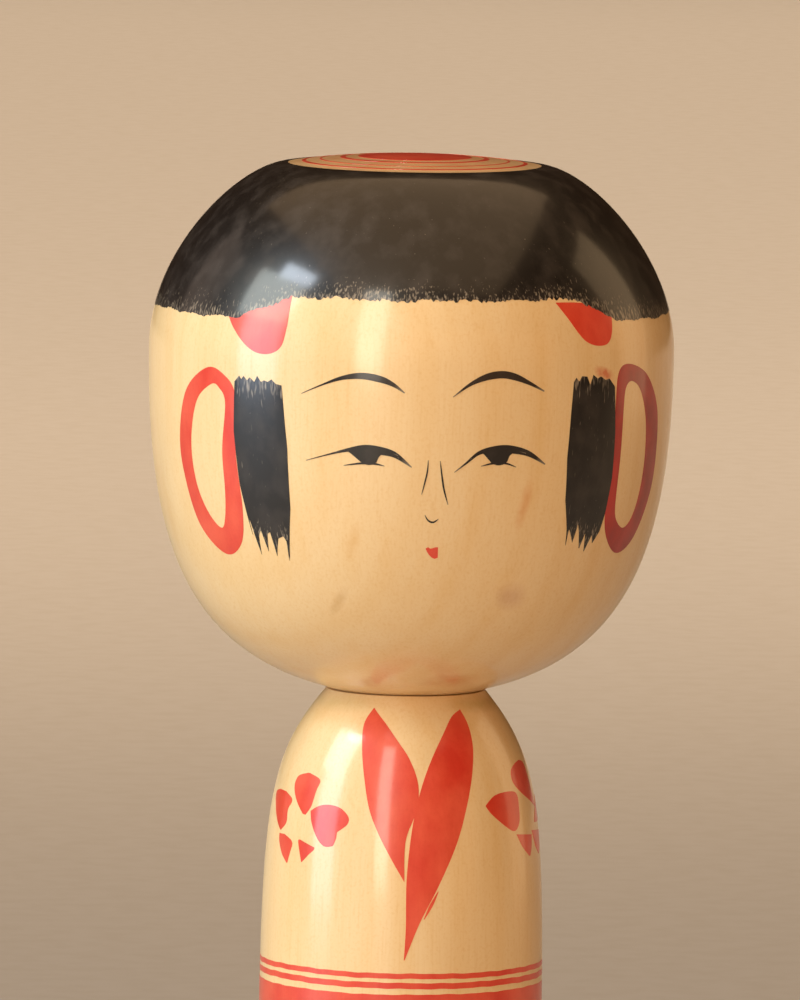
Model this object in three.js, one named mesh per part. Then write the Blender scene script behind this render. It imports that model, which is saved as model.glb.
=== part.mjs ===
// Kokeshi doll: a turned wooden head whose neck plug sits in a socket bored into the turned body.
// Millimetres, +Z up. The origin is the centre of the foot, and the face looks along -Y.
import * as THREE from 'three';

// Body
const bodyHeight = 162; // foot to the seat of the head
const bodyRadius = 21.5; // at the chest
const shoulderDrop = 50; // from the seat to where the sides run straight
const hipHeight = 62; // where the sides begin to spread towards the foot
const footRadius = 24.6;
const footRound = 1.2; // eased edge that the doll stands on
const recessRadius = 17; // turned hollow under the foot, so that it stands on a ring
const recessDepth = 1;
const recessSlope = 1.5; // width of the hollow's sloping side

// Head
const headHeight = 79.4; // seat to the rim of the crown
const headRadius = 39.8; // at the cheeks
const cheekHeight = 51.4; // height of the widest line above the seat
const crownRadius = 19.2; // disc on top that the hair leaves bare
const crownDome = 1.4; // its rise from rim to middle

// Joint between the two
const seatRadius = 12; // both flat seats where the head rests
const seatGap = 0.3;
const plugRadius = 8.2;
const plugLength = 21;
const plugChamfer = 1;
const plugClearance = 0.3; // between the plug and the wall of the socket
const socketSpare = 3; // socket depth beyond the end of the plug
const mouthChamfer = 0.6; // eased mouth of the socket

// How full each curve is: the share of its width or height that a handle reaches
const chin = { across: 0.79, up: 0.1, belowCheek: 0.565 };
const temple = { aboveCheek: 0.515, across: 0.34 };
const shoulder = { across: 0.855, down: 0.196, aboveSides: 0.67 };
const flare = { belowHip: 0.5, aboveFoot: 0.35 };

const turnSteps = 64; // facets round the lathe axis
const curveSteps = 14; // steps along each curve of an outline

const wood = { roughness: 0.42, metalness: 0 };
const headColour = '#e2b57c';
const bodyColour = '#dcac70';

// Turns an outline of (radius, height) points, drawn upwards round the material, about the Z axis.
function turned(name, outline, colour) {
  const geometry = new THREE.LatheGeometry(outline.getPoints(curveSteps), turnSteps);
  geometry.rotateX(Math.PI / 2);
  const mesh = new THREE.Mesh(geometry, new THREE.MeshStandardMaterial({ color: colour, ...wood }));
  mesh.name = name;
  return mesh;
}

function makeHead() {
  const cheekWidth = headRadius - seatRadius;
  const crownWidth = headRadius - crownRadius;
  const crownRise = headHeight - cheekHeight;
  const outline = new THREE.Path();
  outline.moveTo(0, -plugLength);
  outline.lineTo(plugRadius - plugChamfer, -plugLength);
  outline.lineTo(plugRadius, plugChamfer - plugLength);
  outline.lineTo(plugRadius, 0);
  outline.lineTo(seatRadius, 0);
  outline.bezierCurveTo(
    seatRadius + chin.across * cheekWidth, chin.up * cheekHeight,
    headRadius, cheekHeight * (1 - chin.belowCheek),
    headRadius, cheekHeight,
  );
  outline.bezierCurveTo(
    headRadius, cheekHeight + temple.aboveCheek * crownRise,
    crownRadius + temple.across * crownWidth, headHeight,
    crownRadius, headHeight,
  );
  const crownTop = headHeight + crownDome;
  outline.quadraticCurveTo(crownRadius / 2, crownTop, 0, crownTop);
  return turned('head', outline, headColour);
}

function makeBody() {
  const shoulderFoot = bodyHeight - shoulderDrop;
  const shoulderWidth = bodyRadius - seatRadius;
  const flareHeight = hipHeight - footRound;
  const socketRadius = plugRadius + plugClearance;
  const socketFloor = bodyHeight - plugLength - socketSpare;
  const outline = new THREE.Path();
  outline.moveTo(0, recessDepth);
  outline.lineTo(recessRadius - recessSlope, recessDepth);
  outline.lineTo(recessRadius, 0);
  outline.lineTo(footRadius - footRound, 0);
  outline.quadraticCurveTo(footRadius, 0, footRadius, footRound);
  outline.bezierCurveTo(
    footRadius, footRound + flare.aboveFoot * flareHeight,
    bodyRadius, hipHeight - flare.belowHip * flareHeight,
    bodyRadius, hipHeight,
  );
  outline.lineTo(bodyRadius, shoulderFoot);
  outline.bezierCurveTo(
    bodyRadius, shoulderFoot + shoulder.aboveSides * shoulderDrop,
    seatRadius + shoulder.across * shoulderWidth, bodyHeight - shoulder.down * shoulderDrop,
    seatRadius, bodyHeight,
  );
  outline.lineTo(socketRadius + mouthChamfer, bodyHeight);
  outline.lineTo(socketRadius, bodyHeight - mouthChamfer);
  outline.lineTo(socketRadius, socketFloor);
  outline.lineTo(0, socketFloor);
  return turned('body', outline, bodyColour);
}

const head = makeHead();
head.position.z = bodyHeight + seatGap;

const doll = new THREE.Group();
doll.name = 'kokeshi_doll';
doll.add(makeBody(), head);

export default doll;
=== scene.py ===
import bisect
import math
import random

import bmesh
import bpy
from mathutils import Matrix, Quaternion, Vector
from mathutils.geometry import interpolate_bezier


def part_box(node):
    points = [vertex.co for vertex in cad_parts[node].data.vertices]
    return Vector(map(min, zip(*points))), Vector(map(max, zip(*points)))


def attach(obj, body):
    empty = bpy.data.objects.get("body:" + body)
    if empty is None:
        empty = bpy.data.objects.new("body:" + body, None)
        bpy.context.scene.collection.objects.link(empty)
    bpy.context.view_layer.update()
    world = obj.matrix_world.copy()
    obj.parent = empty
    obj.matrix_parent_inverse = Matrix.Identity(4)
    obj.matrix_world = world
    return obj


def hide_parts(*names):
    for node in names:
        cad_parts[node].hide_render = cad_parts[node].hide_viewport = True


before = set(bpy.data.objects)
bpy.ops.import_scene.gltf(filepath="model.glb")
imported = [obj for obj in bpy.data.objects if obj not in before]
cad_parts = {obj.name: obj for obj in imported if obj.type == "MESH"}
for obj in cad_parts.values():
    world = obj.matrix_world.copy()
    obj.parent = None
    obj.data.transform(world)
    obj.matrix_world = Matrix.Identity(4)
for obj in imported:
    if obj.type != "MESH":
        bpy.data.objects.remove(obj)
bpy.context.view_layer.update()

mm = 0.001  # every size below is in millimetres; a piece is scaled to metres as it is made
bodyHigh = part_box("body")[1] / mm
headLow, headHigh = (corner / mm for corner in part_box("head"))
crispCorner = 35  # degrees: edges that turn more than this are shaded sharp


def bezier(start, handleA, handleB, end, steps=60):
    corners = [Vector(p) for p in (start, handleA, handleB, end)]
    return interpolate_bezier(*corners, steps + 1)


def between(pairs, x):
    # the value at x on a broken line of (x, value) pairs
    xs = [pair[0] for pair in pairs]
    i = min(max(bisect.bisect_right(xs, x), 1), len(pairs) - 1)
    (xa, a), (xb, b) = pairs[i - 1], pairs[i]
    share = min(max((x - xa) / (xb - xa), 0), 1)
    return a + (b - a) * share


def pathThrough(points, closed=False):
    # a smooth curve through given points, asked for by its share of the length
    knots = [Vector(p) for p in points]
    count = len(knots)
    samples = []
    for i in range(count if closed else count - 1):
        start, end = knots[i], knots[(i + 1) % count]
        before = knots[i - 1] if closed or i > 0 else start
        after = knots[(i + 2) % count] if closed or i + 2 < count else end
        handles = start + (end - before) / 6, end - (after - start) / 6
        samples += interpolate_bezier(start, *handles, end, 9)[:-1]
    samples.append(knots[0] if closed else knots[-1])
    lengths = [0]
    for a, b in zip(samples, samples[1:]):
        lengths.append(lengths[-1] + (b - a).length)

    def at(share):
        i = min(max(bisect.bisect_right(lengths, share * lengths[-1]), 1), len(samples) - 1)
        part = (share * lengths[-1] - lengths[i - 1]) / (lengths[i] - lengths[i - 1])
        return samples[i - 1].lerp(samples[i], min(max(part, 0), 1))

    return at


seatGap = 0.3  # between the seats of head and body, before the head has settled

# "chin", "temple", "flare" and "shoulder" say how full a curve is: the shares of its width and
# height that its two handles reach
headShape = {
    "seatHeight": bodyHigh.z + seatGap,  # above the foot of the doll
    "seatRadius": 12,
    "cheekRadius": headHigh.x,
    "cheekHeight": 51.4,  # these heights are above the seat
    "chin": {"across": 0.79, "up": 0.1, "below": 0.435},
    "temple": {"above": 0.515, "across": 0.34},
    "rimRadius": 19.2,
    "crownDome": 1.4,
    "plugRadius": 8.2,
    "plugChamfer": 1,
    "edgeSoftness": 0.3,  # sanded corner round the seat
    "settled": 0.2,  # how far the seat has worn towards the body
}
headShape["rimHeight"] = headHigh.z - headShape["seatHeight"] - headShape["crownDome"]
headShape["plugLength"] = headShape["seatHeight"] - headLow.z

bodyShape = {
    "height": bodyHigh.z,
    "footRadius": bodyHigh.x,
    "footRound": 1.2,
    "flare": {"up": 0.35, "down": 0.5},
    "sideRadius": 21.5,
    "sideStep": 8,  # between points up the straight side
    "hipHeight": 62,
    "shoulderDrop": 50,
    "shoulder": {"up": 0.67, "across": 0.855, "down": 0.196},
    "seatRadius": 12,
    "edgeSoftness": 0.3,
    "socketRadius": 8.5,
    "socketSpare": 3,  # its depth beyond the plug
    "mouthChamfer": 0.6,
    "recessRadius": 17,
    "recessDepth": 1,
    "recessSlope": 1.5,
    "toolRings": 6,  # turning marks left in the hollow under the foot
    "toolRingDepth": 0.15,
    "centreMark": 1.3,  # radius of the lathe centre's dimple
    "centreDepth": 0.9,
    "centreLand": 1,  # flat left round the dimple
}
bodyShape["socketFloor"] = bodyShape["height"] - headShape["plugLength"] - bodyShape["socketSpare"]


def headSkinOutline():
    # from the seat's corner up to the rim of the crown
    h = headShape
    chinShare, templeShare = h["chin"], h["temple"]
    cheekWidth = h["cheekRadius"] - h["seatRadius"]
    rise = h["rimHeight"] - h["cheekHeight"]
    rimWidth = h["cheekRadius"] - h["rimRadius"]
    chin = bezier(
        (h["seatRadius"], 0),
        (h["seatRadius"] + chinShare["across"] * cheekWidth, chinShare["up"] * h["cheekHeight"]),
        (h["cheekRadius"], chinShare["below"] * h["cheekHeight"]),
        (h["cheekRadius"], h["cheekHeight"]),
    )
    temple = bezier(
        (h["cheekRadius"], h["cheekHeight"]),
        (h["cheekRadius"], h["cheekHeight"] + templeShare["above"] * rise),
        (h["rimRadius"] + templeShare["across"] * rimWidth, h["rimHeight"]),
        (h["rimRadius"], h["rimHeight"]),
    )
    return [point + Vector((0, h["seatHeight"])) for point in chin + temple[1:]]


def bodySkinOutline():
    # from the edge of the foot up to the corner of the seat
    b = bodyShape
    flareShare, shoulderShare = b["flare"], b["shoulder"]
    flareHeight = b["hipHeight"] - b["footRound"]
    shoulderFoot = b["height"] - b["shoulderDrop"]
    shoulderWidth = b["sideRadius"] - b["seatRadius"]
    skirt = bezier(
        (b["footRadius"], b["footRound"]),
        (b["footRadius"], b["footRound"] + flareShare["up"] * flareHeight),
        (b["sideRadius"], b["hipHeight"] - flareShare["down"] * flareHeight),
        (b["sideRadius"], b["hipHeight"]),
        steps=30,
    )
    shoulder = bezier(
        (b["sideRadius"], shoulderFoot),
        (b["sideRadius"], shoulderFoot + shoulderShare["up"] * b["shoulderDrop"]),
        (b["seatRadius"] + shoulderShare["across"] * shoulderWidth,
         b["height"] - shoulderShare["down"] * b["shoulderDrop"]),
        (b["seatRadius"], b["height"]),
    )
    heights = range(b["hipHeight"] + b["sideStep"], int(shoulderFoot), b["sideStep"])
    side = [Vector((b["sideRadius"], z)) for z in heights]
    return skirt + side + shoulder


def crownHeight(radius):
    h = headShape
    dome = h["crownDome"] * (1 - (radius / h["rimRadius"]) ** 2)
    return h["seatHeight"] + h["rimHeight"] + dome


def turn(outline, closed=False, steps=256):
    bm = bmesh.new()
    verts = [bm.verts.new((radius, 0, height)) for radius, height in outline]
    ends = verts + verts[:1] if closed else verts
    edges = [bm.edges.new(pair) for pair in zip(ends, ends[1:])]
    bmesh.ops.spin(
        bm, geom=verts + edges, cent=(0, 0, 0), axis=(0, 0, 1),
        angle=math.tau, steps=steps, use_merge=True,
    )
    bmesh.ops.remove_doubles(bm, verts=bm.verts, dist=0.001)
    bmesh.ops.recalc_face_normals(bm, faces=bm.faces)
    return bm


def makeSkin(points, base, girth):
    # base: height that a mark's "up" is measured from; girth: radius its "sideways" is measured at
    lengths = [0]
    for a, b in zip(points, points[1:]):
        lengths.append(lengths[-1] + (b - a).length)
    heights = [point.y for point in points]
    return {"points": points, "lengths": lengths, "heights": heights, "base": base, "girth": girth}


def reach(skin, up):
    # distance along the outline to a height above the skin's base
    return between(list(zip(skin["heights"], skin["lengths"])), up + skin["base"])


def onSkin(skin, sideways, distance, lift):
    points, lengths = skin["points"], skin["lengths"]
    i = min(max(bisect.bisect_right(lengths, distance), 1), len(points) - 1)
    a, b = points[i - 1], points[i]
    share = (distance - lengths[i - 1]) / (lengths[i] - lengths[i - 1])
    run = (b - a).normalized()
    radius, height = a.lerp(b, share) + Vector((run.y, -run.x)) * lift
    angle = sideways / skin["girth"]
    return Vector((radius * math.sin(angle), -radius * math.cos(angle), height))


paintFilm = {
    "dyeLift": 0.03,  # how far a film stands proud of the wood
    "inkLift": 0.05,  # ink goes on after the dye, and over it
    "depth": 0.12,  # its whole thickness, sunk into the wood
    "cell": 0.6,  # size of the film's mesh cells
    "overlap": 0.004,  # each later film of a piece lies this much over the last
}


def layFilm(bm, skin, place, size, lift, alongOutline=False):
    # a grid of film laid on the turned surface, then extruded into the wood to give it thickness
    columns, rows = (max(2, round(length / paintFilm["cell"])) for length in size)
    bm.loops.layers.uv.verify()
    spot = bm.verts.layers.float_vector.verify()
    grid = bmesh.ops.create_grid(bm, x_segments=columns, y_segments=rows, size=0.5, calc_uvs=True)
    for vert in grid["verts"]:
        sideways, up = place(vert.co.x + 0.5, vert.co.y + 0.5)
        distance = up if alongOutline else reach(skin, up)
        vert[spot] = (sideways, distance, 0)
        vert.co = onSkin(skin, sideways, distance, lift)
    faces = {face for vert in grid["verts"] for face in vert.link_faces}
    bmesh.ops.remove_doubles(bm, verts=grid["verts"], dist=0.002)
    faces = [face for face in faces if face.is_valid]
    sunk = bmesh.ops.extrude_face_region(bm, geom=faces)
    for vert in sunk["geom"]:
        if isinstance(vert, bmesh.types.BMVert):
            vert.co = onSkin(skin, vert[spot].x, vert[spot].y, lift - paintFilm["depth"])
    bm.verts.layers.float_vector.remove(spot)


def stroke(path):
    # a brush stroke along (sideways, up, width) points
    at = pathThrough(path)

    def place(s, t):
        here = at(s)
        run = (at(min(s + 0.02, 1)) - at(max(s - 0.02, 0))).to_2d().normalized()
        offset = (t - 0.5) * here.z
        return here.x - run.y * offset, here.y + run.x * offset

    return place


def filled(edgeA, edgeB, closed=False):
    # colour brushed in between two edges
    a, b = pathThrough(edgeA, closed), pathThrough(edgeB, closed)

    def place(s, t):
        return a(s).lerp(b(s), t)

    return place


def finishPiece(name, bm, material, body):
    bmesh.ops.recalc_face_normals(bm, faces=bm.faces)
    bmesh.ops.scale(bm, vec=(mm, mm, mm), verts=bm.verts)
    for face in bm.faces:
        face.smooth = True
    mesh = bpy.data.meshes.new(name)
    bm.to_mesh(mesh)
    bm.free()
    mesh.set_sharp_from_angle(angle=math.radians(crispCorner))
    mesh.materials.append(material)
    piece = bpy.data.objects.new(name, mesh)
    bpy.context.scene.collection.objects.link(piece)
    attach(piece, body)
    return piece


def linear(hexColour):
    channels = [int(hexColour[i:i + 2], 16) / 255 for i in (1, 3, 5)]
    return tuple(c / 12.92 if c <= 0.04045 else ((c + 0.055) / 1.055) ** 2.4 for c in channels) + (1,)


def addNode(tree, kind, links, output=0, **settings):
    # adds a node, with its settings and what goes into it, and gives back one of its outputs
    added = tree.nodes.new("ShaderNode" + kind)
    for name, value in settings.items():
        setattr(added, name, value)
    for key, value in links.items():
        if isinstance(value, bpy.types.NodeSocket):
            tree.links.new(value, added.inputs[key])
        else:
            added.inputs[key].default_value = value
    return added.outputs[output]


def newMaterial(name, finish):
    material = bpy.data.materials.new(name)
    material.use_nodes = True
    shader = material.node_tree.nodes["Principled BSDF"]
    for key, value in finish.items():
        shader.inputs[key].default_value = value
    return material, material.node_tree, shader


def grainPattern(tree, where, across, along, detail=2):
    # noise as wide as across and as long as along, upright like the wood's fibres
    scale = (1 / (across * mm), 1 / (across * mm), 1 / (along * mm))
    stretched = addNode(tree, "Mapping", {"Vector": where, "Scale": scale})
    return addNode(tree, "TexNoise", {"Vector": stretched, "Scale": 1, "Detail": detail})


def tinted(tree, colour, pattern, low, high, tint, blend="MULTIPLY"):
    amount = addNode(tree, "MapRange", {"Value": pattern, "From Min": low, "From Max": high})
    return addNode(
        tree, "Mix", {0: amount, 6: colour, 7: linear(tint)}, output=2,
        data_type="RGBA", blend_type=blend,
    )


# dogwood, turned and waxed: a close, pale, faintly figured grain gone honey-coloured with age
woodLook = {
    "pale": "#f2d3a1",
    "honey": "#ecc890",
    "patina": 25,  # size of the paler and darker areas
    "pith": (70, 45),  # the tree's centre, beside the doll, so its rings pass nearly straight
    "ringSpacing": 3.4,
    "ringTint": "#fdfaf4",
    "ringRange": (0.55, 1),  # strengths of the pattern where a tint starts and where it is full
    "streak": (3, 60),  # width and length
    "streakTint": "#fdf9f1",
    "streakRange": (0.45, 0.75),
    "fibre": (0.35, 9),  # real fibres and pores are under 0.1 mm wide; these are coarser, so they show
    "fibreTint": "#fbf6ee",
    "fibreRange": (0.5, 0.8),
    "pore": 0.45,
    "poreTint": "#fbf6ee",
    "poreRange": (0.5, 0.75),
    "wear": (6, 9),  # size of the patches where the wax has worn
    "raised": (0.4, 7),  # size of the fibres that stand up
}
# wax rubbed on while the piece still turned: a soft gloss over the wood and the paint alike
waxed = {"Roughness": 0.45, "IOR": 1.5, "Coat Weight": 0.7, "Coat Roughness": 0.13, "Coat IOR": 1.5}
inked = dict(waxed, IOR=1.4)  # ink keeps less of the shine than wood does


def woodColour(tree, where):
    look = woodLook
    patina = grainPattern(tree, where, look["patina"], look["patina"] * 2)
    colour = addNode(
        tree, "Mix", {0: patina, 6: linear(look["pale"]), 7: linear(look["honey"])}, output=2,
        data_type="RGBA",
    )
    pithX, pithY = look["pith"]
    fromPith = addNode(
        tree, "Mapping",
        {"Vector": where, "Location": (-pithX * mm, -pithY * mm, 0), "Scale": (1, 1, 0.08)},
        vector_type="POINT",
    )
    rings = addNode(
        tree, "TexWave",
        {"Vector": fromPith, "Scale": 0.5 / (look["ringSpacing"] * mm) / math.pi, "Distortion": 2.5,
         "Detail": 2, "Detail Scale": 0.6},
        output="Fac", wave_type="RINGS", rings_direction="Z",
    )
    colour = tinted(tree, colour, rings, *look["ringRange"], look["ringTint"])
    streaks = grainPattern(tree, where, *look["streak"])
    colour = tinted(tree, colour, streaks, *look["streakRange"], look["streakTint"])
    fibres = grainPattern(tree, where, *look["fibre"])
    colour = tinted(tree, colour, fibres, *look["fibreRange"], look["fibreTint"])
    pores = grainPattern(tree, where, look["pore"], look["pore"])
    return tinted(tree, colour, pores, *look["poreRange"], look["poreTint"])


def addWoodFinish(tree, shader, where):
    # the wax has worn unevenly, so some patches are duller, and the fibres stand up a little all over
    wear = grainPattern(tree, where, *woodLook["wear"], detail=4)
    dull = addNode(
        tree, "MapRange",
        {"Value": wear, "From Min": 0.35, "From Max": 0.7, "To Min": 0.36, "To Max": 0.52},
    )
    tree.links.new(dull, shader.inputs["Roughness"])
    fibres = grainPattern(tree, where, *woodLook["raised"])
    relief = addNode(tree, "Bump", {"Height": fibres, "Strength": 0.06, "Distance": 0.1 * mm})
    tree.links.new(relief, shader.inputs["Normal"])


tintSpotRange = (0.03, 0.42)  # where a spot starts to show and where it is at its strongest; the spots are stains on the head, and painted shade with faded dye at the neck


def skinPoint(skin, sideways, up):
    return onSkin(skin, sideways, reach(skin, up), 0) * mm


# the same spot serves for real stains and for painted shade
def stainedAndShaded(tree, colour, where, skin, tintSpot):
    # a soft-edged spot: a stretched ball of colour centred on the surface, or on a given point
    centre = Vector(tintSpot["centre"]) * mm if "centre" in tintSpot else skinPoint(skin, *tintSpot["at"])
    turned = addNode(
        tree, "Mapping",
        {"Vector": where, "Location": centre, "Rotation": (0, math.radians(tintSpot.get("tilt", 0)), 0),
         "Scale": [size * mm for size in tintSpot["size"]]},
        vector_type="TEXTURE",
    )
    cloud = addNode(tree, "TexGradient", {"Vector": turned}, output="Fac", gradient_type="SPHERICAL")
    uneven = grainPattern(tree, where, tintSpot["blotch"], tintSpot["blotch"], detail=3)
    amount = addNode(tree, "Math", {0: cloud, 1: uneven}, operation="MULTIPLY")
    return tinted(tree, colour, amount, *tintSpotRange, tintSpot["tint"])


def woodMaterial(name, skin, stainsAndShade):
    material, tree, shader = newMaterial(name, waxed)
    where = addNode(tree, "TexCoord", {}, output="Object")
    colour = woodColour(tree, where)
    for tintSpot in stainsAndShade:
        colour = stainedAndShaded(tree, colour, where, skin, tintSpot)
    tree.links.new(colour, shader.inputs["Base Color"])
    addWoodFinish(tree, shader, where)
    return material


# red dye soaked into the bare wood: clear, so the grain shows through, and uneven like watercolour
dyeLook = {
    "brush": {"thin": "#f66a64", "full": "#e84844"},
    # darkerRed: a deeper red, used only on the right-hand loop
    "darkerRed": {"thin": "#cc2a2e", "full": "#a0171d"},
    "pool": 5,  # size of the clouds where the brush left more or less
}


def dyeMaterial(name, load):
    material, tree, shader = newMaterial(name, waxed)
    where = addNode(tree, "TexCoord", {}, output="Object")
    clouds = grainPattern(tree, where, dyeLook["pool"], dyeLook["pool"] * 1.6, detail=6)
    density = addNode(tree, "MapRange", {"Value": clouds, "From Min": 0.35, "From Max": 0.65})
    thin, full = linear(dyeLook[load]["thin"]), linear(dyeLook[load]["full"])
    dye = addNode(tree, "Mix", {0: density, 6: thin, 7: full}, output=2, data_type="RGBA")
    colour = addNode(
        tree, "Mix", {0: 1, 6: woodColour(tree, where), 7: dye}, output=2,
        data_type="RGBA", blend_type="MULTIPLY",
    )
    tree.links.new(colour, shader.inputs["Base Color"])
    addWoodFinish(tree, shader, where)
    return material


# lamp-black ink in glue: dense and near black, grey where dust and rubbing have dulled its wax
inkLook = {
    "ink": "#130e0b",
    "rubbed": "#352e29",
    "rubbing": (3, 4),  # size of the rubbed patches
    "rubbedRange": (0.45, 0.85),
    "speck": "#6a6158",
    "speckSize": (0.45, 0.7),
    "speckRange": (0.74, 0.95),
    "dry": "#897c6b",  # where the brush ran dry and the wood half shows
    "dryRange": (0.83, 1.02),
    "bristle": (0.3, 1.9),  # size of the marks that the bristles miss
    "loading": 14,  # size of the areas where the brush was wetter or drier
    # dryReach: share of the film, from its brushed ends, where the brush was running dry
    # skips: how much the bristles miss in between
    "fringe": {"dryReach": 0.17, "skips": 0, "bothEnds": False},
    "locks": {"dryReach": 0.17, "skips": 0.07, "bothEnds": True},
    "lines": {"dryReach": 0.12, "bothEnds": True},
}


def inkMaterial(name, brush):
    # a fringe or lock is combed upwards with a flat brush; a line runs along its film with a fine one
    combed = "skips" in brush
    material, tree, shader = newMaterial(name, inked)
    where = addNode(tree, "TexCoord", {}, output="Object")
    look = inkLook
    rubbing = grainPattern(tree, where, *look["rubbing"], detail=9)
    colour = linear(look["ink"])
    colour = tinted(tree, colour, rubbing, *look["rubbedRange"], look["rubbed"], blend="MIX")
    specks = grainPattern(tree, where, *look["speckSize"], detail=1)
    colour = tinted(tree, colour, specks, *look["speckRange"], look["speck"], blend="MIX")
    uv = addNode(tree, "UVMap", {})
    along = addNode(tree, "SeparateXYZ", {0: uv}, output="Y" if combed else "X")
    if brush["bothEnds"]:
        fromFarEnd = addNode(tree, "Math", {0: 1.0, 1: along}, operation="SUBTRACT")
        along = addNode(tree, "Math", {0: along, 1: fromFarEnd}, operation="MINIMUM")
    if combed:
        nearEnd = addNode(
            tree, "MapRange",
            {"Value": along, "From Min": 0, "From Max": brush["dryReach"],
             "To Min": 0.22, "To Max": brush["skips"] - 0.1},
        )
        hairs = grainPattern(tree, where, *look["bristle"], detail=1)
        loading = grainPattern(tree, where, look["loading"], look["loading"])
        bare = addNode(tree, "Math", {0: hairs, 1: nearEnd}, operation="ADD")
        bare = addNode(tree, "Math", {0: loading, 1: 0.3, 2: bare}, operation="MULTIPLY_ADD")
        colour = tinted(tree, colour, bare, *look["dryRange"], look["dry"], blend="MIX")
    else:
        inner = addNode(tree, "Math", {0: brush["dryReach"], 1: along}, operation="SUBTRACT")
        colour = tinted(tree, colour, inner, 0, brush["dryReach"], look["dry"], blend="MIX")
    tree.links.new(colour, shader.inputs["Base Color"])
    dull = addNode(
        tree, "MapRange",
        {"Value": rubbing, "From Min": 0.4, "From Max": 0.75, "To Min": 0.38, "To Max": 0.5},
    )
    tree.links.new(dull, shader.inputs["Roughness"])
    return material


headSkin = makeSkin(headSkinOutline(), base=headShape["seatHeight"], girth=39.6)
bodySkin = makeSkin(bodySkinOutline(), base=0, girth=19.5)

headStains = [
    {"at": (14.8, 17), "size": (3, 6, 3), "blotch": 4, "tint": "#efe4e6"},
    {"at": (14.6, 31.1), "size": (1.1, 6, 5.2), "tilt": 14, "blotch": 2, "tint": "#f6dfce"},
    {"at": (-12.6, 25.4), "size": (1.2, 6, 3.6), "tilt": 10, "blotch": 2, "tint": "#f8eee0"},
    {"at": (-16, 16), "size": (1.2, 6, 3.4), "tilt": 22, "blotch": 2, "tint": "#f1e9de"},
    {"at": (-15.2, 2.4), "size": (2, 5, 1.8), "blotch": 2, "tint": "#efdccf"},
    {"at": (9, 2.8), "size": (6, 5, 2.2), "blotch": 3, "tint": "#f3e2d8"},
    {"at": (28.4, 50.4), "size": (2.4, 4, 1.1), "tilt": 25, "blotch": 1, "tint": "#e8a294"},
    # dye that has bled between the rings on the crown
    {"centre": (0, 0, 242), "size": (26, 26, 5), "blotch": 6, "tint": "#eebfa9"},
]
# a faint grey-green ring just below the head's seat: partly faded green dye, partly painted shade where the
# head shadows the shoulder; the right-hand spot is darker, as painted shade
neckDyeAndShade = [
    {"at": (-19, 160.6), "size": (9, 9, 1.7), "blotch": 4, "tint": "#eff0e6"},
    {"at": (20, 160.6), "size": (10, 9, 1.7), "blotch": 4, "tint": "#e0ddc8"},
]
headWood = woodMaterial("waxed_dogwood_head", headSkin, headStains)
bodyWood = woodMaterial("waxed_dogwood_body", bodySkin, neckDyeAndShade)
redDye = dyeMaterial("red_dye", "brush")
deepDye = dyeMaterial("darker_red_dye", "darkerRed")
hairInk = inkMaterial("lampblack_combed_fringe", inkLook["fringe"])
lockInk = inkMaterial("lampblack_combed_locks", inkLook["locks"])
lineInk = inkMaterial("lampblack_fine_line", inkLook["lines"])


def makeHead():
    h = headShape
    base, soft = h["seatHeight"], h["edgeSoftness"]
    skin = [point for point in headSkin["points"] if point.y > base + soft / 3]
    seat = base - h["settled"]
    plugEnd = base - h["plugLength"]
    outline = [
        (0, plugEnd),
        (h["plugRadius"] - h["plugChamfer"], plugEnd),
        (h["plugRadius"], plugEnd + h["plugChamfer"]),
        (h["plugRadius"], seat),
        (h["seatRadius"] - soft, seat),
        (h["seatRadius"] + soft * 0.3, seat + soft * 0.3),
    ]
    crown = [(radius, crownHeight(radius)) for radius in range(int(h["rimRadius"]) - 1, -1, -1)]
    head = finishPiece("head_wood", turn(outline + skin + crown), headWood, "head")
    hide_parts("head")


def makeBody():
    b = bodyShape
    soft = b["edgeSoftness"]
    hollow = [(0, b["recessDepth"] + b["centreDepth"]), (b["centreMark"], b["recessDepth"])]
    inner = b["centreMark"] + b["centreLand"]
    outer = b["recessRadius"] - b["recessSlope"]
    steps = 8 * b["toolRings"]
    for i in range(steps + 1):
        cut = math.sin(math.pi * i * b["toolRings"] / steps) ** 2
        hollow.append((inner + (outer - inner) * i / steps, b["recessDepth"] + b["toolRingDepth"] * cut))
    handle = 0.45 * b["footRound"]  # near enough to a quarter circle
    foot = bezier(
        (b["footRadius"] - b["footRound"], 0),
        (b["footRadius"] - handle, 0),
        (b["footRadius"], handle),
        (b["footRadius"], b["footRound"]),
        steps=6,
    )
    skin = [point for point in bodySkin["points"] if point.y < b["height"] - soft / 2]
    socket = [
        (b["seatRadius"] + soft * 0.3, b["height"] - soft * 0.2),
        (b["seatRadius"] - soft, b["height"]),
        (b["socketRadius"] + b["mouthChamfer"], b["height"]),
        (b["socketRadius"], b["height"] - b["mouthChamfer"]),
        (b["socketRadius"], b["socketFloor"]),
        (0, b["socketFloor"]),
    ]
    outline = hollow + [(b["recessRadius"], 0)] + foot + skin[1:] + socket
    body = finishPiece("body_wood", turn(outline), bodyWood, "body")
    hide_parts("body")


makeHead()
makeBody()
print("turned wood made")


hair = {
    "back": 58,  # hairline above the seat, round the back and sides
    "fringe": 61.8,  # and across the forehead
    "fringeEnd": (23.5, 33),  # sideways: where the fringe starts to step down, and where it is down
    "tick": 0.5,  # longest tick of the brush below the fringe
    "sideTick": 0.5,  # share of it that is left round the sides and back
    "tickFade": (24, 34),  # sideways: where the ticks start to shorten, and where they are short
    "waves": [(0.12, 35, 0), (0.1, 14, 1)],  # of the hairline: height, count all round, and phase
    "column": 0.35,  # width of one tick
    "rows": 49,  # of mesh cells, from the hairline to the rim of the crown
    "seed": 11,
}


def hairline(sideways):
    start, end = hair["fringeEnd"]
    across = (abs(sideways) - start) / (end - start)
    share = min(max(across, 0), 1)
    return hair["fringe"] + (hair["back"] - hair["fringe"]) * share


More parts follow.
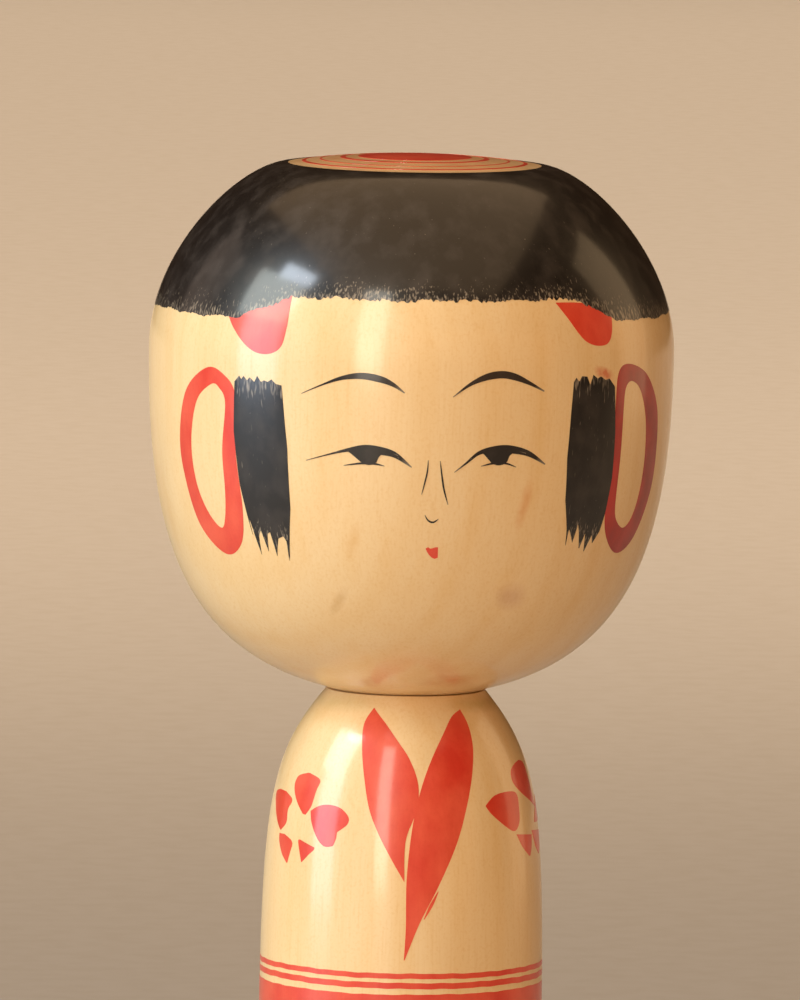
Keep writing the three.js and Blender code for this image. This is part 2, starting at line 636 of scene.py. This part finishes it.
def makeHair():
    wander = random.Random(hair["seed"])
    halfRound = math.pi * headSkin["girth"]
    columns = round(2 * halfRound / hair["column"])
    tickStart, tickEnd = hair["tickFade"]
    tickLengths = [(0, 1), (tickStart, 1), (tickEnd, hair["sideTick"]), (halfRound, hair["sideTick"])]
    ticks = [wander.uniform(0, 1) ** 2 for _ in range(columns)]
    top = headSkin["lengths"][-1]

    def place(s, t):
        sideways = (s - 0.5) * 2 * halfRound
        column = round(s * columns) % columns
        shorter = between(tickLengths, abs(sideways))
        wave = sum(high * math.sin(s * math.tau * count + phase) for high, count, phase in hair["waves"])
        bottom = reach(headSkin, hairline(sideways) + wave - ticks[column] * hair["tick"] * shorter)
        return sideways, bottom + (top - bottom) * t

    bm = bmesh.new()
    size = (columns * paintFilm["cell"], hair["rows"] * paintFilm["cell"])
    layFilm(bm, headSkin, place, size, paintFilm["inkLift"], alongOutline=True)
    finishPiece("hair", bm, hairInk, "head")


# "left" and "right" are (up, sideways) points; "top" and "bottom" are (share across, up) points
locks = {
    "lock_left": {
        "left": [(21, -29.4), (27, -30.8), (33, -32), (41, -32.7), (49.5, -32.4)],
        "right": [(21, -24), (30, -22.8), (39, -22.9), (49.5, -23.9)],
        "top": [(0, 48.5), (0.1, 49.4), (0.15, 48.9), (0.2, 49.4), (0.28, 48.8), (0.34, 49.3),
                (0.44, 48.6), (0.5, 49.6), (0.58, 48.7), (0.64, 49), (0.72, 48.8), (0.8, 49.2),
                (0.88, 48.6), (1, 48.4)],
        "bottom": [(0, 25.4), (0.03, 28.4), (0.08, 22.4), (0.17, 25.4), (0.26, 26.3), (0.35, 23.1),
                   (0.42, 25.8), (0.5, 26.1), (0.6, 22.5), (0.7, 25.2), (0.84, 25.6), (0.92, 24.8),
                   (0.98, 21.8), (1, 22.6)],
    },
    "lock_right": {
        "left": [(23, 23.6), (27, 23.1), (31.5, 22), (38, 21.6), (45, 21.9), (50.5, 22.3)],
        "right": [(23, 29.8), (29, 31.1), (34.5, 31.6), (41.5, 31.4), (50.5, 30.6)],
        "top": [(0, 49.4), (0.05, 50), (0.12, 49.4), (0.18, 50.2), (0.3, 50.1), (0.38, 48.8), (0.45, 50.3),
                (0.56, 49.7), (0.64, 50), (0.76, 49.4), (0.86, 49.6), (1, 48.3)],
        "bottom": [(0, 24.6), (0.06, 27.2), (0.2, 25), (0.3, 27.8), (0.46, 23.8), (0.55, 26.4),
                   (0.66, 23.3), (0.78, 26), (0.88, 24.6), (1, 26.4)],
    },
}


lockFilm = (36, 26)  # far wider than a lock, so that its brushed ends get narrow cells


def makeLock(name, lock):
    def place(s, t):
        up = between(lock["bottom"], s) * (1 - t) + between(lock["top"], s) * t
        return between(lock["left"], up) * (1 - s) + between(lock["right"], up) * s, up

    bm = bmesh.new()
    layFilm(bm, headSkin, place, lockFilm, paintFilm["inkLift"])
    finishPiece(name, bm, lockInk, "head")


makeHair()
for name, lock in locks.items():
    makeLock(name, lock)
print("hair made")


# Every point is (sideways, up): sideways round the wood from the middle of the front, up from the
# seat on the head and from the foot on the body. A stroke's points have its width as a third number.

headDye = {
    "ribbon_left": {
        "filled": [
            ([(-35, 58.4), (-33.3, 56.4), (-30.6, 54.1), (-28.2, 53), (-25.7, 53.1), (-24, 54.4),
              (-23.4, 57.4)],
             [(-35, 59), (-30, 61), (-23.4, 62)]),
        ],
    },
    "ribbon_right": {
        "filled": [
            ([(20, 61.1), (21.7, 58.9), (23.5, 56.5), (25, 55.2), (27, 54.6), (29.2, 54.8), (30.4, 56.2),
              (31.1, 58.8)],
             [(20, 61.2), (25, 61), (31.1, 60)]),
        ],
    },
    "loop_left": {
        "ring": [
            ([(-38.6, 50.1), (-44, 46.2), (-46.2, 39), (-45.5, 33), (-42.8, 25.8), (-37.4, 22), (-33.2, 24),
              (-31.9, 29.5), (-32.5, 38), (-32.3, 46.3), (-34.8, 49.4)],
             [(-37.5, 47.7), (-41, 45), (-42.8, 39), (-42.4, 33), (-40.3, 28.5), (-37.4, 26), (-36, 27.8),
              (-35.3, 32), (-35.3, 38), (-34.4, 45), (-35.7, 47.3)]),
        ],
    },
    "loop_right": {
        # this loop is painted a deeper red than the left one
        "darkerLoop": True,
        "ring": [
            ([(34.6, 51.5), (31.8, 50.6), (31.2, 46), (31.4, 38), (31.1, 29.5), (33, 25), (37.2, 22.6),
              (41.8, 24.8), (45, 31.6), (45.2, 38), (44, 44.4), (39.8, 49.5)],
             [(35.1, 48.9), (33.6, 48), (33.2, 45), (33.2, 38), (33.3, 31.5), (34.2, 28.2), (37, 26.5),
              (39.3, 28.1), (40.5, 32.5), (40.6, 38), (39.7, 43.5), (37.6, 47.5)]),
        ],
    },
    "mouth": {
        "filled": [
            ([(-1, 24.6), (-0.6, 24.8), (-0.15, 24.5), (0.3, 24.75), (0.95, 24.8)],
             [(-1, 24.5), (-0.6, 23.8), (0, 23.2), (0.5, 23), (1, 23.2)]),
        ],
    },
}
headInk = {
    "brow_left": {
        "strokes": [
            [(-20.5, 47.4, 0.1), (-17.1, 48.9, 0.25), (-14.1, 50, 0.6), (-11.2, 50.4, 0.95), (-8.4, 50, 1),
             (-6.4, 49.2, 0.6), (-4.7, 48, 0.15)],
        ],
    },
    "brow_right": {
        "strokes": [
            [(2.5, 47.5, 0.1), (5.1, 49.4, 0.5), (7.7, 50.5, 1), (10, 50.8, 1.1), (12.1, 50.4, 1),
             (14.5, 49.4, 0.55), (16.9, 48.2, 0.2)],
        ],
    },
    "eye_left": {
        "strokes": [
            [(-19.8, 37.4, 0.1), (-16.4, 38.4, 0.2), (-13.4, 39.2, 0.5), (-10.7, 39.6, 1), (-8.3, 39.3, 1.2),
             (-6, 38.7, 0.85), (-3.5, 36.9, 0.15)],
            [(-13.8, 36.9, 0.1), (-11.2, 37.3, 0.3), (-9.1, 37.3, 0.3), (-7.6, 37, 0.1)],
        ],
        "filled": [
            ([(-15.2, 38.9), (-12.5, 39.5), (-10.3, 39.8), (-8.2, 39.5), (-5.6, 38.7)],
             [(-15.2, 38.8), (-13.4, 39.1), (-11.9, 38.1), (-11, 37.4), (-10, 37.1), (-8.9, 37.4),
              (-8.3, 38.5), (-7, 39.1), (-5.6, 38.6)]),
        ],
    },
    "eye_right": {
        "strokes": [
            [(3, 36.2, 0.1), (4.8, 37.6, 0.3), (6.7, 39.1, 0.55), (9, 39.6, 1), (11.5, 39.6, 1.2),
             (14.6, 38.9, 0.85), (17.6, 37.2, 0.2)],
            [(7.1, 37.1, 0.1), (8.9, 37.5, 0.3), (10.9, 37.5, 0.3), (12.7, 36.9, 0.1)],
        ],
        "filled": [
            ([(5.4, 38.2), (7.6, 39.4), (9.8, 39.8), (11.8, 39.6), (14.2, 39)],
             [(5.4, 38.1), (7, 39.1), (8.1, 38.2), (8.8, 37.5), (9.9, 37.2), (11.1, 37.6), (11.6, 38.7),
              (12.8, 39.2), (14.2, 38.9)]),
        ],
    },
    "nose": {
        "strokes": [
            [(-1, 38, 0.1), (-1.1, 36.3, 0.22), (-1.5, 34.4, 0.2), (-1.9, 32.8, 0.08)],
            [(0.8, 37.9, 0.1), (1.1, 35.8, 0.24), (1.5, 33.6, 0.26), (2.2, 31.3, 0.1)],
            [(-1.3, 29.7, 0.1), (-0.8, 28.9, 0.22), (0, 28.6, 0.26), (0.8, 29.1, 0.1)],
        ],
    },
}
bodyDye = {
    "collar_left": {
        "filled": [
            ([(-8.9, 160.2), (-10.1, 158), (-9.4, 154.5), (-8.2, 150), (-7, 145.5), (-5.4, 141.8),
              (-3.5, 138.2), (-1.6, 134.8)],
             [(-8.8, 160.2), (-5.6, 158), (-3, 155.5), (-1, 153), (0.3, 149.5), (0.1, 145.7), (-1.5, 141),
              (-1.6, 134.8)]),
        ],
    },
    "collar_right": {
        "filled": [
            ([(10.8, 160), (7.7, 158.8), (4.3, 155.4), (2, 151.8), (0.4, 147.5), (-0.7, 142), (-1.3, 135),
              (-1.3, 128), (-1.5, 123)],
             [(10.8, 160), (11.3, 158), (10.9, 155), (9.6, 151), (7.9, 146), (6, 140.5), (3.1, 133.9),
              (0.6, 128.6), (-1.4, 123)]),
        ],
        "strokes": [[(3.2, 133.4, 0.1), (2.2, 131.3, 0.45), (1.2, 129.2, 0.1)]],
    },
    "blossom_left": {
        "filled": [
            ([(-18.6, 144), (-20.6, 145.9), (-21.8, 147.8), (-21.4, 149.4), (-19, 150.1)],
             [(-18, 143.9), (-17, 145.3), (-16.5, 147.6), (-16.1, 149.3), (-18.6, 150.1)]),
            ([(-17, 144.6), (-15.4, 145.5), (-13.5, 145.8), (-11.5, 145.4), (-10.1, 144.1), (-10.4, 142.9),
              (-11.7, 142.1), (-11.9, 140.9), (-12.3, 139.8)],
             [(-17, 144.5), (-16.7, 143.3), (-16.2, 142.2), (-15.6, 141.2), (-14.9, 140.3), (-14, 139.6),
              (-13.2, 139.5), (-12.4, 139.7)]),
            ([(-24, 141), (-25.6, 142.3), (-27.3, 144.3), (-28.4, 146.2), (-26.5, 146.9)],
             [(-23.8, 141), (-22.4, 142.3), (-22.5, 144.2), (-21.7, 145.8), (-24, 146.8)]),
            ([(-21.3, 136.3), (-22.8, 137.6), (-23.9, 139.3), (-24.1, 140.5)],
             [(-21.1, 136.3), (-20.6, 138), (-20.3, 139.6), (-22.5, 140.5)]),
            ([(-17.9, 136.8), (-18.4, 138.2), (-18.9, 140.1), (-17.8, 139.8)],
             [(-17.8, 136.8), (-16.6, 138), (-15.5, 139.1), (-16.8, 139.5)]),
        ],
    },
    "blossom_right": {
        "filled": [
            ([(26.6, 144.3), (23, 145.9), (20.2, 147.3), (18.3, 149), (18.6, 150.7), (20.6, 151.6)],
             [(26.8, 144.3), (25.6, 146.6), (25.1, 149.4), (24.6, 151.3), (22.5, 151.9)]),
            ([(11.3, 146), (13.2, 147.3), (15.9, 147.7), (18.3, 147.5), (19, 146.6)],
             [(11.3, 145.8), (12.3, 144.6), (14.8, 142.7), (17, 141.7), (18.5, 143), (18.9, 145.5)]),
            ([(20.8, 137.6), (18.8, 139.2), (17.4, 141.2)], [(21.2, 137.6), (21.9, 139), (22.3, 140.7)]),
            ([(25.4, 137.4), (23.7, 138.8), (22.5, 141.3)], [(25.7, 137.4), (27.4, 138.9), (27.9, 140.8)]),
            ([(24.3, 142.4), (26.4, 144.6), (29, 146)], [(24.4, 142.3), (28, 142.3), (31, 144)]),
        ],
    },
}


def runLength(points):
    return max(sum((Vector(b[:2]) - Vector(a[:2])).length for a, b in zip(points, points[1:])), 1)


def makeMark(name, mark, skin, material, body, lift):
    # each film's size only sets how many cells it gets, so the finest marks have the most for their length
    films = [(stroke(path), (runLength(path) * 2, 2.4)) for path in mark.get("strokes", [])]
    for edgeA, edgeB in mark.get("filled", []):
        films.append((filled(edgeA, edgeB), (runLength(edgeA) * 1.5, 7)))
    for outer, inner in mark.get("ring", []):
        films.append((filled(outer, inner, closed=True), (runLength(outer) * 1.3, 3.6)))
    bm = bmesh.new()
    for i, (place, size) in enumerate(films):
        layFilm(bm, skin, place, size, lift + i * paintFilm["overlap"])
    finishPiece(name, bm, material, body)


for name, mark in headDye.items():
    dye = deepDye if "darkerLoop" in mark else redDye
    makeMark(name, mark, headSkin, dye, "head", paintFilm["dyeLift"])
for name, mark in headInk.items():
    makeMark(name, mark, headSkin, lineInk, "head", paintFilm["inkLift"])
for name, mark in bodyDye.items():
    makeMark(name, mark, bodySkin, redDye, "body", paintFilm["dyeLift"])
print("brushed marks made")


# painted while the doll turned on the lathe
crownRings = [(0, 8.6), (10.5, 11.3), (14.1, 14.4), (16.5, 17.1)]  # inner and outer radius of each
crownCell = 0.4  # width of a ring's mesh cells
# low and high edge of each line and band
bands = {
    "band_upper": [(120.2, 121), (118.7, 119.6), (92, 117.8)],
    "band_lower": [(89.6, 90.5), (88, 88.9), (29, 29.9), (27.3, 28.2), (4, 26.2)],
}


def makeCrownRings():
    rings = bmesh.new()
    for inner, outer in crownRings:
        steps = max(2, round((outer - inner) / crownCell))
        radii = [inner + (outer - inner) * i / steps for i in range(steps + 1)]
        above = [(radius, crownHeight(radius) + paintFilm["dyeLift"]) for radius in radii]
        below = [(radius, height - paintFilm["depth"]) for radius, height in reversed(above)]
        ring = turn(above + below, closed=inner > 0)
        mesh = bpy.data.meshes.new("ring")
        ring.to_mesh(mesh)
        ring.free()
        rings.from_mesh(mesh)
        bpy.data.meshes.remove(mesh)
    finishPiece("crown_rings", rings, redDye, "head")


bandSeed = 5


def makeBands(name, heights):
    # slow waves move a whole line up and down, and quick ones move only its edges
    wander = random.Random(bandSeed)
    bm = bmesh.new()
    halfRound = math.pi * bodySkin["girth"]
    for low, high in heights:
        phases = [wander.uniform(0, math.tau) for _ in range(4)]

        def place(s, t):
            turned = s * math.tau
            wobble = 0.05 * math.sin(2 * turned + phases[0]) + 0.03 * math.sin(7 * turned + phases[1])
            edge = 0.03 * math.sin(23 * turned + phases[2]) + 0.03 * math.sin(41 * turned + phases[3])
            up = low + (high - low) * t + wobble + edge * (1 if t in (0, 1) else 0)
            return (s - 0.5) * 2 * halfRound, up

        layFilm(bm, bodySkin, place, (halfRound * 2, high - low), paintFilm["dyeLift"])
    finishPiece(name, bm, redDye, "body")


makeCrownRings()
for name, heights in bands.items():
    makeBands(name, heights)
print("rings and bands made")


studio = {
    "floor": {"across": 16000, "colour": "#b9b4ad", "mottle": 8},
    "world": {"colour": "#d29a70", "strength": 0.04},
    "aimAboveSeat": 40,  # the lamps point at the middle of the head, except one that points downward
    # azimuth: 0 is the doll's front, positive towards +X; glow is the lamp's brightness, at any size
    # sky, garden and window are the parts of one bright opening, and strip is a narrow one
    "lamps": {
        "sky": {
            "azimuth": -73, "elevation": 43, "away": 1600, "size": (460, 170),
            "glow": 16, "colour": "#e4f1ff",
        },
        "garden": {
            "azimuth": -79.5, "elevation": 30.1, "away": 1600, "size": (740, 555),
            "glow": 7.2, "colour": "#eef6f0",
        },
        "window": {
            "azimuth": -76, "elevation": 7, "away": 1600, "size": (600, 760),
            "glow": 4.9, "colour": "#d4e8ff",
        },
        "fill": {
            "azimuth": 12, "elevation": 8, "away": 1600, "size": (3600, 840),
            "glow": 0.62, "colour": "#ffb87e",
        },
        "strip": {
            "azimuth": -23.5, "elevation": 19.7, "away": 1000, "size": (200, 905),
            "glow": 6.2, "colour": "#fffaea",
        },
        "overhead": {
            "azimuth": 0, "elevation": 88, "away": 1500, "size": (2250, 2790),
            "glow": 0.78, "colour": "#ffd4a4",
        },
        "right": {
            "azimuth": 108, "elevation": 15, "away": 1500, "size": (600, 1300),
            "glow": 1.05, "colour": "#ffd6a4",
        },
        "left": {
            "azimuth": -122, "elevation": 12, "away": 1500, "size": (600, 1300),
            "glow": 0.45, "colour": "#ffe1cb",
        },
        "wash": {
            "azimuth": 180, "elevation": 24.2, "away": 3760, "size": (6000, 4150),
            "glow": 0.98, "colour": "#ffe4c6", "downward": True, "spread": 70,
        },
    },
}


def makeFloor():
    look = studio["floor"]
    # a sheet of pale paper: matt and even, with a faint mottle
    material, tree, shader = newMaterial("pale_paper", {"Roughness": 0.8})
    where = addNode(tree, "TexCoord", {}, output="Object")
    tooth = grainPattern(tree, where, look["mottle"], look["mottle"], detail=4)
    colour = tinted(tree, linear(look["colour"]), tooth, 0.4, 0.7, "#faf9f7")
    tree.links.new(colour, shader.inputs["Base Color"])
    bm = bmesh.new()
    bmesh.ops.create_grid(bm, x_segments=8, y_segments=8, size=look["across"] * mm / 2)
    mesh = bpy.data.meshes.new("floor")
    bm.to_mesh(mesh)
    bm.free()
    mesh.materials.append(material)
    floor = bpy.data.objects.new("floor", mesh)
    bpy.context.scene.collection.objects.link(floor)


def makeLamp(name, lamp, aim):
    light = bpy.data.lights.new(name, "AREA")
    light.shape = "RECTANGLE"
    light.size, light.size_y = (side * mm for side in lamp["size"])
    light.energy = lamp["glow"] * 4 * light.size * light.size_y
    light.color = linear(lamp["colour"])[:3]
    light.spread = math.radians(lamp.get("spread", 180))
    azimuth, elevation = math.radians(lamp["azimuth"]), math.radians(lamp["elevation"])
    back = Vector((
        math.sin(azimuth) * math.cos(elevation),
        -math.cos(azimuth) * math.cos(elevation),
        math.sin(elevation),
    ))
    holder = bpy.data.objects.new(name, light)
    holder.location = aim + back * lamp["away"] * mm
    holder.rotation_mode = "QUATERNION"
    facing = Vector((0, 0, -1)) if lamp.get("downward") else -back
    holder.rotation_quaternion = facing.to_track_quat("-Z", "Y")
    holder.visible_camera = False
    bpy.context.scene.collection.objects.link(holder)


view = {
    "azimuth": -5.5,
    "away": 2000,
    "height": 378.9,
    "aimHeight": 190.6,
    "aimLeft": 1.36,  # the doll stands a little right of the middle
    "roll": 0.98,  # degrees
    "lens": 476.7,  # long, so that only the head and chest fill the frame
}


def makeCamera():
    azimuth = math.radians(view["azimuth"])
    place = Vector((math.sin(azimuth) * view["away"], -math.cos(azimuth) * view["away"], view["height"])) * mm
    left = Vector((-math.cos(azimuth), -math.sin(azimuth), 0)) * view["aimLeft"] * mm
    aim = Vector((0, 0, view["aimHeight"] * mm)) + left
    data = bpy.data.cameras.new("camera")
    data.lens = view["lens"]
    data.clip_start, data.clip_end = 0.1, 100
    camera = bpy.data.objects.new("camera", data)
    camera.location = place
    camera.rotation_mode = "QUATERNION"
    facing = (aim - place).to_track_quat("-Z", "Y")
    camera.rotation_quaternion = facing @ Quaternion((0, 0, 1), math.radians(view["roll"]))
    bpy.context.scene.collection.objects.link(camera)
    bpy.context.scene.camera = camera


makeFloor()
for name, lamp in studio["lamps"].items():
    makeLamp(name, lamp, Vector((0, 0, headShape["seatHeight"] + studio["aimAboveSeat"])) * mm)
world = bpy.data.worlds.new("room")
world.use_nodes = True
room = world.node_tree.nodes["Background"]
room.inputs["Color"].default_value = linear(studio["world"]["colour"])
room.inputs["Strength"].default_value = studio["world"]["strength"]
bpy.context.scene.world = world
bpy.context.scene.view_settings.view_transform = "Standard"
makeCamera()
print("floor, light and camera made")
